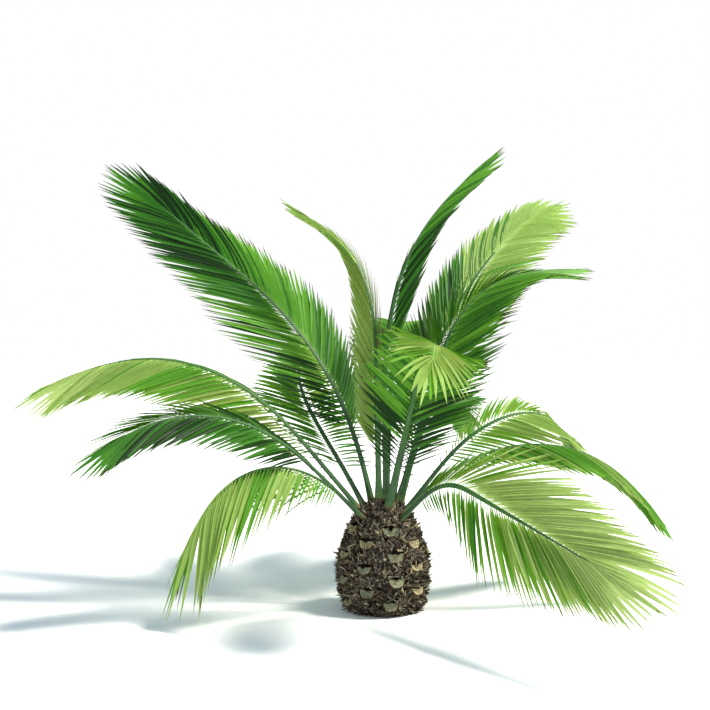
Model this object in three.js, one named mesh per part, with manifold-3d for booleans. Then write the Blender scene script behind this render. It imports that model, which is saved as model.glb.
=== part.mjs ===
// A young Canary Island date palm, rooted in level ground.
// Millimetres, +Z up. The origin is the middle of the flat cut under the trunk, at ground level.
// Someone in front of the palm looks along +Y and has +X on the right. Angles are in degrees,
// azimuth 0 points along +X and azimuth 90 along +Y.
import * as THREE from 'three';
import { mergeVertices } from 'three/addons/utils/BufferGeometryUtils.js';
import Module from 'manifold-3d';

const wasm = await Module();
wasm.setup();

const { degToRad, clamp, lerp } = THREE.MathUtils;

// Driving dimensions
const JOINT_GAP = 0.3; // between a stem and the face that carries it
const TRUNK_PROFILE = [
  [0, 182], [45, 205], [120, 227], [210, 238], [300, 227],
  [390, 198], [470, 162], [530, 125], [568, 68],
]; // [height, radius], from the ground up
const TRUNK_TOP = 580;
const TRUNK_SIDES = 24;

const STUB_ROWS = 7; // rows of cut leaf bases, five in each row
const STUBS_IN_ROW = 5;
const STUB_TOP_ROW = 436;
const STUB_ROW_SPACING = 62.5;
const STUB_FIRST_AZIMUTH = -78;
const STUB_WIDTH = 92;
const STUB_HEIGHT = 44;
const STUB_PROUD = 20; // how far a cut face stands out of the trunk
const STUB_SINK = 60;
const STUB_PITCH = 24; // the old stalks pointed this far above level
const STUB_FLARE = 1.1; // how much wider a stub is inside the trunk than at its cut
const STUB_ARC_SIDES = 4;

const CHIP_COUNT = 30; // shards of old leaf base between the stubs
const CHIP_LOWEST = 20;
const CHIP_HIGHEST = 430;
const CHIP_LENGTH = 70;
const CHIP_WIDTH = 46;
const CHIP_EDGE_WIDTH = 18;
const CHIP_SHOULDER = [0.55, 28, 11]; // share of the length, width and how far it stands proud
const CHIP_PROUD = 15;
const CHIP_SINK = 14;
const CHIP_TURN = 137.5; // golden angle

const SEAT_FALL = 120; // an outer frond, 60 degrees off the upright, is seated this far down
const SEAT_FALL_POWER = 1.5;
const OUTER_TIER_RISE = 30;
const RIB_STEPS = 64;
const STALK_SEGMENTS = 4;
const STALK_HALF_WIDTH = 19; // at the trunk
const STALK_HALF_HEIGHT = 12;
const RIB_TAPER_POWER = 1.2;
const RIB_TIP_HALF = 4; // half the width and height of a rib at its tip
const BOOT_SCALE = [1.55, 1.35]; // width of a leaf base over its stalk's, inside the trunk and on top
const BOOT_LENGTH = 70;
const BOOT_CLEARANCE = 14; // how far the top of a leaf base stands out of the trunk
const FOOT_SEARCH_STEP = 5;

const LEAFLET_SPACING = 80;
const LEAFLET_THICKNESS = 5;
const LEAFLET_WIDTH_MAX = 70;
const LEAFLET_FILL = 0.88; // share of the spacing that a leaflet covers
const LEAFLET_ROOT_SHARE = 0.72; // width where it leaves the rib, as a share of its widest
const LEAFLET_ROOT_MIN = 12; // the least stretch of rib that a pair of roots takes
const LEAFLET_ANGLE_POWER = 1.3;
const LEAFLET_BEND = 0.45; // where along its length a leaflet is widest and bends
const LEAFLET_NARROWING = 0.75; // past this share of its length it takes half the room
const LEAFLET_STAGGER = 7; // neighbours leave the rib this far above and below the blade
const LEAFLET_LAST = 0.975;
const LEAFLET_FIRST = 0.35; // length of the first leaflet, as a share of the longest
const LEAFLET_GROWN = 0.3; // share of the leafy length over which they grow to the longest
const LEAFLET_TIP_LOSS = 0.1;
const TERMINAL_LENGTH = 0.75; // the leaflet that ends the rib, as a share of the longest
const LEAFLET_TRIMS = [1, 0.85, 0.7, 0.55];
const CLEARANCE = 3;
const OWN_REACH = 150; // leaflets nearer than this along one rib are apart by their growth
const TRUNK_CLEARANCE = 45;
const GROUND_CLEARANCE = 12;

// The crown. Each frond leaves its seat, [radius, azimuth] on the trunk's head, at the angle rise
// above level towards its azimuth. Between the two bend shares of its length the rib droops and
// sways to its last bearing. roll turns the blade about the rib, fold lifts both rows of leaflets
// towards the upper face, and angle is the angle between leaflet and rib, each as [foot, tip].
// Leaflets stand between the shares bare and one. They start at the share first of their full
// length, reach it at the share grown of that stretch, and lose the share tipLoss of it by its end.
// left and right hold what is different in one row, seen from the trunk. split is the share of the
// length where an arched frond is parted in two.
const FRONDS = [
  {
    name: 'frond_upper_left', seat: [80, 140], azimuth: 130, rise: 74, droop: 38, sway: 22,
    length: 2250, bend: [-0.12, 0.75], roll: [-10, 42], angle: [64, 21], fold: [-18, -3],
    sag: 0.05, leaflet: 560, first: 0.6, tipLoss: 0, bare: 0.19, right: { angle: [42, 14], fold: [5, 8] },
  },
  {
    name: 'frond_centre_left', seat: [40, 125], azimuth: 125, rise: 88, droop: 60, sway: 14,
    length: 1760, bend: [0.4, 0.98], roll: [0, 0], angle: [34, 24], fold: [-50, -30],
    sag: 0.05, leaflet: 310, first: 0.7, tipLoss: 0.4, bare: 0.16,
  },
  {
    name: 'frond_centre_right', seat: [35, -60], azimuth: 60, rise: 93, droop: 57, sway: -26,
    length: 1960, bend: [0.13, 1.08], roll: [0, 0], angle: [28, 13], fold: [-60, -60],
    sag: 0.05, leaflet: 410, bare: 0.3,
  },
  {
    name: 'frond_upper_right', seat: [79, 55], azimuth: 40, rise: 78, droop: 79, sway: 19,
    length: 2240, bend: [-0.21, 1.55], roll: [-10, -15], angle: [50, 22], fold: [-20, -35],
    sag: 0.1, leaflet: 500, first: 0.6, bare: 0.2, left: { angle: [36, 18], fold: [5, 8] },
  },
  {
    name: 'frond_right_high', seat: [85, 15], azimuth: 20, rise: 73, droop: 74, sway: 7,
    length: 1630, bend: [0.41, 1.11], roll: [-60, 0], angle: [62, 20], fold: [0, -40],
    sag: 0.05, leaflet: 460, first: 0.6, bare: 0.18, split: 0.62,
  },
  {
    name: 'frond_front', seat: [88, -75], azimuth: -66, rise: 64, droop: 122, sway: -47,
    length: 1490, bend: [0.35, 1.25], roll: [22, 28], angle: [56, 50], fold: [10, -12],
    sag: 0.1, leaflet: 420, first: 0.7, tipLoss: 0.4, bare: 0.16, split: 0.62,
    right: { angle: [48, 50], fold: [-12, -12] },
  },
  {
    name: 'frond_right_back', seat: [110, -5], azimuth: 0, rise: 52, droop: 88, sway: 60,
    length: 1430, bend: [0.15, 1], roll: [-20, -30], angle: [60, 14], fold: [-28, -28],
    sag: 0.1, leaflet: 410, bare: 0.25, split: 0.6, left: { leaflet: 340, fold: [-3, -14] },
  },
  {
    name: 'frond_right', seat: [115, -32], azimuth: -15, rise: 52, droop: 101, sway: 45,
    length: 1580, bend: [-0.12, 1.13], roll: [0, 0], angle: [42, 10], fold: [-55, -65],
    sag: 0.1, leaflet: 370, bare: 0.25, split: 0.52,
  },
  {
    name: 'frond_front_right', seat: [135, -54], azimuth: -50, rise: 39, droop: 50, sway: -12,
    length: 1600, bend: [0.1, 0.42], roll: [-45, -60], angle: [42, 14], fold: [0, 0],
    sag: 0.05, leaflet: 600, first: 0.25, bare: 0.14, grown: 0.5, split: 0.27,
    left: { leaflet: 700, grown: 0.3, angle: [37, 16] },
  },
  {
    name: 'frond_left_high', seat: [113, 170], azimuth: 178, rise: 50, droop: 77, sway: -3,
    length: 1870, bend: [0.2, 1.16], roll: [22, 22], angle: [58, 26], fold: [-40, -40],
    sag: 0.1, leaflet: 470, bare: 0.22, split: 0.58, first: 0.5, right: { fold: [-32, -36] },
  },
  {
    name: 'frond_left', seat: [122, 200], azimuth: 200, rise: 45, droop: 86, sway: 8,
    length: 1490, bend: [0.16, 1.28], roll: [28, 28], angle: [56, 24], fold: [-18, -18],
    sag: 0.1, leaflet: 380, first: 0.6, bare: 0.22, split: 0.55,
  },
  {
    name: 'frond_left_low', seat: [130, 222], azimuth: 201, rise: 44, droop: 112, sway: 5,
    length: 1120, bend: [0.07, 1.16], roll: [5, 5], angle: [62, 28], fold: [-50, -45],
    sag: 0.35, leaflet: 430, bare: 0.2, split: 0.5,
    left: { angle: [85, 28], first: 0.25, grown: 0.6 }, right: { first: 0.8 },
  },
  {
    name: 'frond_back_left', seat: [116, 151], azimuth: 158, rise: 62, droop: 42, sway: -68,
    length: 1600, bend: [-0.15, 0.8], roll: [0, 0], angle: [60, 14], fold: [0, -20],
    sag: 0.12, leaflet: 420, first: 0.7, bare: 0.15, split: 0.5, right: { angle: [92, 20] },
  },
  {
    name: 'frond_back', seat: [112, 82], azimuth: 84, rise: 64, droop: 84, sway: -6,
    length: 1800, bend: [0.2, 1.1], roll: [0, 0], angle: [60, 14], fold: [10, -15],
    sag: 0.12, leaflet: 420, bare: 0.25, split: 0.58,
  },
  {
    name: 'frond_back_right', seat: [128, 48], azimuth: 66, rise: 52, droop: 86, sway: 6,
    length: 1500, bend: [0.1, 1.1], roll: [0, 0], angle: [60, 14], fold: [0, -20],
    sag: 0.12, leaflet: 400, bare: 0.22, split: 0.55,
  },
];

function smoothStep(x) {
  const share = clamp(x, 0, 1);
  return share * share * (3 - 2 * share);
}

function polar(radius, azimuth, height) {
  const angle = degToRad(azimuth);
  return new THREE.Vector3(radius * Math.cos(angle), radius * Math.sin(angle), height);
}

// Solids from vertices and triangles, and back
function toSolid(geometry) {
  const bare = geometry.clone();
  bare.deleteAttribute('normal');
  bare.deleteAttribute('uv');
  const merged = mergeVertices(bare, 1e-4);
  return new wasm.Manifold(new wasm.Mesh({
    numProp: 3,
    vertProperties: new Float32Array(merged.attributes.position.array),
    triVerts: new Uint32Array(merged.index.array),
  }));
}

function toGeometry(vertices, triangles) {
  const geometry = new THREE.BufferGeometry();
  const numbers = vertices.flatMap((vertex) => vertex.toArray());
  geometry.setAttribute('position', new THREE.Float32BufferAttribute(numbers, 3));
  geometry.setIndex(triangles.flat());
  return geometry;
}

function fromSolid(solid) {
  const { vertProperties, triVerts } = solid.getMesh();
  const geometry = new THREE.BufferGeometry();
  geometry.setAttribute('position', new THREE.BufferAttribute(new Float32Array(vertProperties), 3));
  geometry.setIndex(new THREE.BufferAttribute(new Uint32Array(triVerts), 1));
  return geometry;
}

// A prism or frustum between two loops of the same number of points, seen anticlockwise from top
function loft(bottom, top) {
  const count = bottom.length;
  const triangles = [];
  for (let i = 0; i < count; i += 1) {
    const next = (i + 1) % count;
    triangles.push([i, next, count + next], [i, count + next, count + i]);
  }
  for (let i = 1; i < count - 1; i += 1) {
    triangles.push([0, i + 1, i], [count, count + i, count + i + 1]);
  }
  return toGeometry([...bottom, ...top], triangles);
}

// Trunk
function trunkRadius(height) {
  const knots = [...TRUNK_PROFILE, [TRUNK_TOP, 0]];
  const above = knots.findIndex(([level]) => level >= height);
  if (above < 0) return 0;
  if (above === 0) return knots[0][1];
  const [low, lowRadius] = knots[above - 1];
  const [high, highRadius] = knots[above];
  return lerp(lowRadius, highRadius, (height - low) / (high - low));
}

function trunkBody() {
  const profile = [[0, 0], ...TRUNK_PROFILE, [TRUNK_TOP, 0]].map(([level, radius]) => (
    new THREE.Vector2(radius, level)
  ));
  return toSolid(new THREE.LatheGeometry(profile, TRUNK_SIDES).rotateX(Math.PI / 2));
}

// A cut leaf base has the half-moon section of a palm's leaf stalk, flat above and round below.
function stub(azimuth, height) {
  const out = polar(Math.cos(degToRad(STUB_PITCH)), azimuth, Math.sin(degToRad(STUB_PITCH)));
  const across = polar(1, azimuth + 90, 0);
  const up = new THREE.Vector3().crossVectors(out, across);
  const face = polar(trunkRadius(height), azimuth, height).addScaledVector(out, STUB_PROUD);
  const section = [];
  for (let i = 0; i <= STUB_ARC_SIDES; i += 1) {
    const angle = Math.PI * (1 + i / STUB_ARC_SIDES);
    section.push([Math.cos(angle) * STUB_WIDTH / 2, Math.sin(angle) * STUB_HEIGHT]);
  }
  const loop = (centre, scale) => section.map(([x, y]) => centre.clone()
    .addScaledVector(across, x * scale)
    .addScaledVector(up, y * scale + STUB_HEIGHT / 2));
  const foot = face.clone().addScaledVector(out, -STUB_SINK);
  return toSolid(loft(loop(foot, STUB_FLARE), loop(face, 1)));
}

function stubs() {
  const list = [];
  for (let row = 0; row < STUB_ROWS; row += 1) {
    for (let place = 0; place < STUBS_IN_ROW; place += 1) {
      const turn = (place + row / 2) * (360 / STUBS_IN_ROW);
      list.push(stub(STUB_FIRST_AZIMUTH + turn, STUB_TOP_ROW - row * STUB_ROW_SPACING));
    }
  }
  return list;
}

// A chip is a four-sided shard that leans out of the trunk and ends in an edge.
function chip(index) {
  const height = lerp(CHIP_LOWEST, CHIP_HIGHEST, (index + 0.5) / CHIP_COUNT);
  const azimuth = index * CHIP_TURN;
  const across = polar(1, azimuth + 90, 0);
  const row = (radius, level, width) => [
    polar(radius, azimuth, level).addScaledVector(across, -width / 2),
    polar(radius, azimuth, level).addScaledVector(across, width / 2),
  ];
  const top = height + CHIP_LENGTH;
  const [shoulder, shoulderWidth, shoulderProud] = CHIP_SHOULDER;
  const inner = trunkRadius(height) - CHIP_SINK;
  const outer = trunkRadius(top);
  const foot = [...row(inner, height, CHIP_WIDTH), ...row(inner - CHIP_SINK, top, CHIP_WIDTH).reverse()];
  const ridge = [
    ...row(outer + shoulderProud, height + CHIP_LENGTH * shoulder, shoulderWidth),
    ...row(outer + CHIP_PROUD, top, CHIP_EDGE_WIDTH).reverse(),
  ];
  return toSolid(loft(foot, ridge));
}

// Fronds
function bearingAt(frond, share) {
  const turned = smoothStep((share - frond.bend[0]) / (frond.bend[1] - frond.bend[0]));
  return {
    elevation: degToRad(frond.rise - frond.droop * turned),
    azimuth: degToRad(frond.azimuth + frond.sway * turned),
  };
}

// Unit vectors along the rib, to its right, and out of its upper face
function frameAt(frond, share) {
  const { elevation, azimuth } = bearingAt(frond, share);
  const along = new THREE.Vector3(
    Math.cos(elevation) * Math.cos(azimuth),
    Math.cos(elevation) * Math.sin(azimuth),
    Math.sin(elevation),
  );
  const level = new THREE.Vector3(Math.sin(azimuth), -Math.cos(azimuth), 0);
  const roll = degToRad(lerp(frond.roll[0], frond.roll[1], share));
  const side = level.applyAxisAngle(along, -roll);
  const up = new THREE.Vector3().crossVectors(side, along);
  return { along, side, up };
}

function seatOf(frond) {
  const tier = Math.max((90 - frond.rise) / (90 - OUTER_TIER_RISE), 0);
  return polar(frond.seat[0], frond.seat[1], TRUNK_TOP - SEAT_FALL * tier ** SEAT_FALL_POWER);
}

function ribOf(frond) {
  const points = [seatOf(frond)];
  for (let i = 0; i < RIB_STEPS; i += 1) {
    const { along } = frameAt(frond, (i + 0.5) / RIB_STEPS);
    points.push(points[i].clone().addScaledVector(along, frond.length / RIB_STEPS));
  }
  return points;
}

function ribPoint(rib, share) {
  const place = clamp(share, 0, 1) * RIB_STEPS;
  const index = Math.min(Math.floor(place), RIB_STEPS - 1);
  return rib[index].clone().lerp(rib[index + 1], place - index);
}

function outsideTrunk(point, margin) {
  const reach = Math.hypot(point.x, point.y);
  return point.z > TRUNK_TOP + margin || reach > trunkRadius(Math.max(point.z - margin, 0)) + margin / 2;
}

function footShare(frond, rib) {
  const step = FOOT_SEARCH_STEP / frond.length;
  let share = 0;
  while (!outsideTrunk(ribPoint(rib, share), BOOT_CLEARANCE)) share += step;
  return share;
}

function ribHalfSizes(share) {
  const taper = (1 - share) ** RIB_TAPER_POWER;
  return {
    width: lerp(RIB_TIP_HALF, STALK_HALF_WIDTH, taper),
    height: lerp(RIB_TIP_HALF, STALK_HALF_HEIGHT, taper),
  };
}

// The leaf base under a live stalk, from inside the trunk to a flat face just under the stalk
function boot(frond, rib, foot) {
  const { along, side, up } = frameAt(frond, foot);
  const { width, height } = ribHalfSizes(foot);
  const face = ribPoint(rib, foot).addScaledVector(along, -JOINT_GAP);
  const root = face.clone().addScaledVector(along, -BOOT_LENGTH);
  const loop = (centre, scale) => [[-1, -1], [1, -1], [1, 1], [-1, 1]].map(([x, y]) => centre.clone()
    .addScaledVector(side, -x * width * scale)
    .addScaledVector(up, y * height * scale));
  return toSolid(loft(loop(root, BOOT_SCALE[0]), loop(face, BOOT_SCALE[1])));
}

// Clearance between leaflets, ribs, trunk and ground
function segmentDistance(p1, q1, p2, q2) {
  const d1 = q1.clone().sub(p1);
  const d2 = q2.clone().sub(p2);
  const r = p1.clone().sub(p2);
  const a = d1.dot(d1);
  const e = d2.dot(d2);
  const f = d2.dot(r);
  const c = d1.dot(r);
  const b = d1.dot(d2);
  const denominator = a * e - b * b;
  let s = denominator > 1e-9 ? clamp((b * f - c * e) / denominator, 0, 1) : 0;
  let t = (b * s + f) / e;
  if (t < 0) {
    t = 0;
    s = clamp(-c / a, 0, 1);
  } else if (t > 1) {
    t = 1;
    s = clamp((b - c) / a, 0, 1);
  }
  return p1.clone().addScaledVector(d1, s).distanceTo(p2.clone().addScaledVector(d2, t));
}

const taken = []; // stretches of ribs and leaflets, each with its radius and its owner

function claimRib(frond, rib) {
  for (let i = 0; i < RIB_STEPS; i += 2) {
    const share = i / RIB_STEPS;
    const { width } = ribHalfSizes(share);
    taken.push({ from: rib[i], to: rib[i + 2], radius: width, frond, share });
  }
}

function isFree(pieces, frond, share) {
  return pieces.every((piece) => taken.every((other) => {
    if (other.frond === frond && Math.abs(other.share - share) * frond.length < OWN_REACH) return true;
    const room = piece.radius + other.radius + CLEARANCE;
    const reach = room + piece.from.distanceTo(piece.to) + other.from.distanceTo(other.to);
    if (piece.from.distanceTo(other.from) > reach) return true;
    return segmentDistance(piece.from, piece.to, other.from, other.to) > room;
  }));
}

function leafletAt(frond, rib, share, index, sign) {
  const row = { ...frond, ...(sign > 0 ? frond.right : frond.left) };
  const along = (share - frond.bare) / (LEAFLET_LAST - frond.bare);
  const frame = frameAt(frond, share);
  const { width } = ribHalfSizes(share);
  const opening = (1 - along) ** LEAFLET_ANGLE_POWER;
  const angle = degToRad(lerp(row.angle[1], row.angle[0], opening));
  const stagger = index % 2 ? LEAFLET_STAGGER : -LEAFLET_STAGGER;
  const fold = degToRad(lerp(row.fold[0], row.fold[1], along) + stagger);
  const outward = frame.side.clone().multiplyScalar(sign * Math.cos(fold))
    .addScaledVector(frame.up, Math.sin(fold));
  const heading = frame.along.clone().multiplyScalar(Math.cos(angle))
    .addScaledVector(outward, Math.sin(angle));
  const edge = frame.along.clone().addScaledVector(heading, -Math.cos(angle)).normalize();
  const face = new THREE.Vector3().crossVectors(heading, edge).multiplyScalar(sign);
  const grown = lerp(row.first ?? LEAFLET_FIRST, 1, smoothStep(along / (row.grown ?? LEAFLET_GROWN)));
  const length = row.leaflet * grown * (1 - (row.tipLoss ?? LEAFLET_TIP_LOSS) * along ** 2);
  const blade = Math.min(LEAFLET_WIDTH_MAX, LEAFLET_FILL * LEAFLET_SPACING * Math.sin(angle));
  const root = ribPoint(rib, share).addScaledVector(frame.side, sign * width);
  const place = (distance) => root.clone().addScaledVector(heading, distance)
    .add(new THREE.Vector3(0, 0, -frond.sag * length * (distance / length) ** 2));
  return { root, place, length, blade, edge, face };
}

function leafletPieces(leaflet, length, frond, share) {
  const { place, blade } = leaflet;
  const bend = place(length * LEAFLET_BEND);
  const late = place(length * LEAFLET_NARROWING);
  const end = place(length);
  const half = LEAFLET_THICKNESS / 2;
  return [
    { from: leaflet.root, to: bend, radius: blade / 2 + half, frond, share },
    { from: bend, to: late, radius: blade / 2, frond, share },
    { from: late, to: end, radius: blade / 4, frond, share },
  ];
}

function growLeaflet(frond, rib, share, index, sign) {
  const leaflet = leafletAt(frond, rib, share, index, sign);
  for (const trim of LEAFLET_TRIMS) {
    const length = leaflet.length * trim;
    const pieces = leafletPieces(leaflet, length, frond, share);
    const tip = pieces[2].to;
    const clear = pieces.every(({ to }) => outsideTrunk(to, TRUNK_CLEARANCE));
    if (tip.z > GROUND_CLEARANCE && clear && isFree(pieces, frond, share)) {
      taken.push(...pieces);
      return { ...leaflet, length };
    }
  }
  return null;
}

// Stations along the rib: bare knots, then a pair of stations for the roots of each leaflet pair
function stationsOf(frond, rib, from) {
  const stations = [];
  for (let i = 0; i < STALK_SEGMENTS; i += 1) {
    stations.push({ share: lerp(from, frond.bare, i / STALK_SEGMENTS) });
  }
  const pairs = Math.round((LEAFLET_LAST - frond.bare) * frond.length / LEAFLET_SPACING);
  for (let i = 0; i <= pairs; i += 1) {
    const share = lerp(frond.bare, LEAFLET_LAST, i / pairs);
    const pair = {
      right: growLeaflet(frond, rib, share, i, 1),
      left: growLeaflet(frond, rib, share, i + 1, -1),
    };
    const widest = Math.max(pair.right?.blade ?? 0, pair.left?.blade ?? 0);
    const half = Math.max(widest * LEAFLET_ROOT_SHARE, LEAFLET_ROOT_MIN) / 2 / frond.length;
    stations.push({ share: share - half, pair }, { share: share + half });
  }
  stations.push({ share: 1 });
  return stations;
}

// The closed body of a rib with its leaflets, between two of its stations
function bladeGeometry(frond, rib, stations) {
  const vertices = [];
  const triangles = [];
  const quad = (a, b, c, d) => triangles.push([a, b, c], [a, c, d]);
  const corner = (share, x, y) => {
    const { side, up } = frameAt(frond, share);
    const { width, height } = ribHalfSizes(share);
    vertices.push(ribPoint(rib, share).addScaledVector(side, x * width).addScaledVector(up, y * height));
    return vertices.length - 1;
  };
  const addLeaflet = (rootLoop, leaflet, sign) => {
    const { place, length, blade, edge, face } = leaflet;
    const bend = place(length * LEAFLET_BEND);
    const order = sign > 0 ? [[-1, -1], [1, -1], [1, 1], [-1, 1]] : [[-1, -1], [-1, 1], [1, 1], [1, -1]];
    const bendLoop = order.map(([x, y]) => {
      vertices.push(bend.clone().addScaledVector(edge, x * blade / 2)
        .addScaledVector(face, y * LEAFLET_THICKNESS / 2));
      return vertices.length - 1;
    });
    vertices.push(place(length));
    const tip = vertices.length - 1;
    for (let i = 0; i < 4; i += 1) {
      const next = (i + 1) % 4;
      quad(rootLoop[i], rootLoop[next], bendLoop[next], bendLoop[i]);
      triangles.push([bendLoop[i], bendLoop[next], tip]);
    }
  };
  const rings = stations.map(({ share }) => ({
    leftUp: corner(share, -1, 1),
    rightUp: corner(share, 1, 1),
    rightLow: corner(share, 1, -1),
    leftLow: corner(share, -1, -1),
  }));
  const first = rings[0];
  const last = rings[rings.length - 1];
  const end = [last.leftLow, last.leftUp, last.rightUp, last.rightLow];
  quad(first.leftLow, first.rightLow, first.rightUp, first.leftUp);
  if (stations[stations.length - 1].share < 1) {
    quad(...end);
  } else {
    const { along } = frameAt(frond, 1);
    vertices.push(ribPoint(rib, 1).addScaledVector(along, frond.leaflet * TERMINAL_LENGTH));
    const tip = vertices.length - 1;
    end.forEach((from, i) => triangles.push([from, end[(i + 1) % 4], tip]));
  }
  for (let i = 0; i < rings.length - 1; i += 1) {
    const here = rings[i];
    const ahead = rings[i + 1];
    const { pair } = stations[i];
    const rightLoop = [here.rightLow, ahead.rightLow, ahead.rightUp, here.rightUp];
    const leftLoop = [here.leftLow, here.leftUp, ahead.leftUp, ahead.leftLow];
    quad(here.leftUp, here.rightUp, ahead.rightUp, ahead.leftUp);
    quad(here.leftLow, ahead.leftLow, ahead.rightLow, here.rightLow);
    if (pair?.right) addLeaflet(rightLoop, pair.right, 1);
    else quad(...rightLoop);
    if (pair?.left) addLeaflet(leftLoop, pair.left, -1);
    else quad(...leftLoop);
  }
  return toGeometry(vertices, triangles);
}

// Where a frond is parted, halfway between two pairs of leaflets nearest to its split
function partStations(frond, stations) {
  if (!frond.split) return [['', stations]];
  const cut = stations.findIndex(({ share, pair }) => pair && share > frond.split);
  const middle = (stations[cut - 1].share + stations[cut].share) / 2;
  const gap = JOINT_GAP / frond.length;
  return [
    ['_inner', [...stations.slice(0, cut), { share: middle - gap / 2 }]],
    ['_outer', [{ share: middle + gap / 2 }, ...stations.slice(cut)]],
  ];
}

// Materials
const barkMaterial = new THREE.MeshStandardMaterial({ color: 0x6b5238, roughness: 0.95, metalness: 0 });
const leafMaterial = new THREE.MeshStandardMaterial({ color: 0x4f8a2c, roughness: 0.55, metalness: 0 });

function named(name, geometry, material) {
  const mesh = new THREE.Mesh(geometry, material);
  mesh.name = name;
  return mesh;
}

// The palm
const palm = new THREE.Group();
const ribs = new Map(FRONDS.map((frond) => [frond, ribOf(frond)]));
ribs.forEach((rib, frond) => claimRib(frond, rib));
const feet = new Map(FRONDS.map((frond) => [frond, footShare(frond, ribs.get(frond))]));

const chips = Array.from({ length: CHIP_COUNT }, (_, index) => chip(index));
const boots = FRONDS.map((frond) => boot(frond, ribs.get(frond), feet.get(frond)));
const aboveGround = toSolid(new THREE.BoxGeometry(1, 1, 1).translate(0, 0, 0.5)
  .scale(TRUNK_TOP * 2, TRUNK_TOP * 2, TRUNK_TOP * 2));
const trunk = [...stubs(), ...chips, ...boots].reduce((body, piece) => body.add(piece), trunkBody())
  .intersect(aboveGround);
palm.add(named('trunk', fromSolid(trunk), barkMaterial));

for (const frond of FRONDS) {
  const rib = ribs.get(frond);
  const stations = stationsOf(frond, rib, feet.get(frond));
  for (const [suffix, part] of partStations(frond, stations)) {
    palm.add(named(frond.name + suffix, bladeGeometry(frond, rib, part), leafMaterial));
  }
}

export default palm;
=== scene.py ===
# %% [markdown]
# # A young Canary Island date palm
#
# This lesson dresses a packed palm, rooted in level ground: a squat trunk covered in dry fibre and
# cut leaf bases, and a crown of fifteen feather fronds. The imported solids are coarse, with one broad
# leaflet where the fine frond has about four. Here each frond is grown again by the rule that shaped
# its solid, and the trunk gets its bark. All lengths are in metres, +Z is up, and the origin is the
# middle of the trunk at ground level.

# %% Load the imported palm
import math

import bpy
import numpy as np
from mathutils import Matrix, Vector, noise


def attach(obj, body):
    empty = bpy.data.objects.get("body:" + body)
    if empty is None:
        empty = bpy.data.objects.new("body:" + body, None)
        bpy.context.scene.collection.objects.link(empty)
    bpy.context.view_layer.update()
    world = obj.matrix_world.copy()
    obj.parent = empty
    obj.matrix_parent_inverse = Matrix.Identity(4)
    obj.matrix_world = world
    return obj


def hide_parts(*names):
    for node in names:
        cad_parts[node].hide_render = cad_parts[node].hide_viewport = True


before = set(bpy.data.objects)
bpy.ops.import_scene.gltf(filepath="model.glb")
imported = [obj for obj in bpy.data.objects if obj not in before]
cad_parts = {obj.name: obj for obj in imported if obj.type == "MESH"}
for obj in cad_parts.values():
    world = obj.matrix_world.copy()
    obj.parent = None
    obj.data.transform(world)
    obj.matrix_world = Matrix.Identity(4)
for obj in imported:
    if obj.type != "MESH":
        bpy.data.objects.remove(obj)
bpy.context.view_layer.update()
scene = bpy.context.scene

# %% [markdown]
# ## The camera
#
# The view is from the front, a little above the crown's middle, from seven metres away. A longer
# lens than usual keeps the fronds that reach towards the viewer from looking too large. The
# camera could be turned with a tracking constraint, but a plain tilt is easier to read.

# %% Camera
IMAGE_SIDE = 710  # pixels
FOCAL_PIXELS = 1325
SENSOR_MM = 36.0
CAMERA_PLACE = (-0.15, -7.0, 1.63)
CAMERA_TILT_DOWN = 2.25  # degrees

camera_data = bpy.data.cameras.new("camera")
camera_data.sensor_width = SENSOR_MM
camera_data.lens = SENSOR_MM * FOCAL_PIXELS / IMAGE_SIDE
camera = bpy.data.objects.new("camera", camera_data)
camera.location = CAMERA_PLACE
camera.rotation_euler = (math.radians(90 - CAMERA_TILT_DOWN), 0, 0)
scene.collection.objects.link(camera)
scene.camera = camera
print("lens:", round(camera_data.lens, 1), "mm")

# %% [markdown]
# ## Colours and shader nodes
#
# Colours are written as the sRGB hex values that a colour picker shows. Shaders work with linear
# light, so one function turns them into linear numbers. One more adds a shader node with its
# settings and links, which keeps a material as short as a recipe. A Mix node has several sockets of
# one name, so its inputs go by number: 0 is the share, and 6 and 7 are the colours.

# %% Colour and node helpers
def linear(hex_code):
    """The linear RGBA of an sRGB hex colour."""
    parts = [int(hex_code[i:i + 2], 16) / 255 for i in (1, 3, 5)]
    curve = [c / 12.92 if c <= 0.04045 else ((c + 0.055) / 1.055) ** 2.4 for c in parts]
    return (*curve, 1.0)


def add(tree, kind, settings=None, **inputs):
    """A node of this kind. An input goes by its name, or by its number as in i0, and gets a value
    or the output socket of another node."""
    made = tree.nodes.new("ShaderNode" + kind)
    for key, value in (settings or {}).items():
        setattr(made, key, value)
    for key, value in inputs.items():
        numbered = key[0] == "i" and key[1:].isdigit()
        socket = made.inputs[int(key[1:]) if numbered else key.replace("_", " ")]
        if isinstance(value, bpy.types.NodeSocket):
            tree.links.new(value, socket)
        else:
            socket.default_value = value
    return made


def new_material(name):
    """An empty node material and its tree."""
    material = bpy.data.materials.new(name)
    material.use_nodes = True
    material.node_tree.nodes.clear()
    return material, material.node_tree


print("black and white:", linear("#000000"), linear("#ffffff"))

# %% [markdown]
# ## Palm leaflets: living leaf under a waxy skin
#
# A date palm's leaflet is a tough leaf with a thin grey-green wax on it. The wax gives the eye a
# dull sheen, and the leaf lets yellow-green light through when the sun is behind it. So the shader
# mixes a Principled surface with a Translucent one. Leaf tissue has an IOR of about 1.45. Mottling
# is about 30 mm across. The veins are under a millimetre apart, and are drawn three times coarser
# so that they show. Each colour that has a place, such as a dry tip, is a material of its own.

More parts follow.
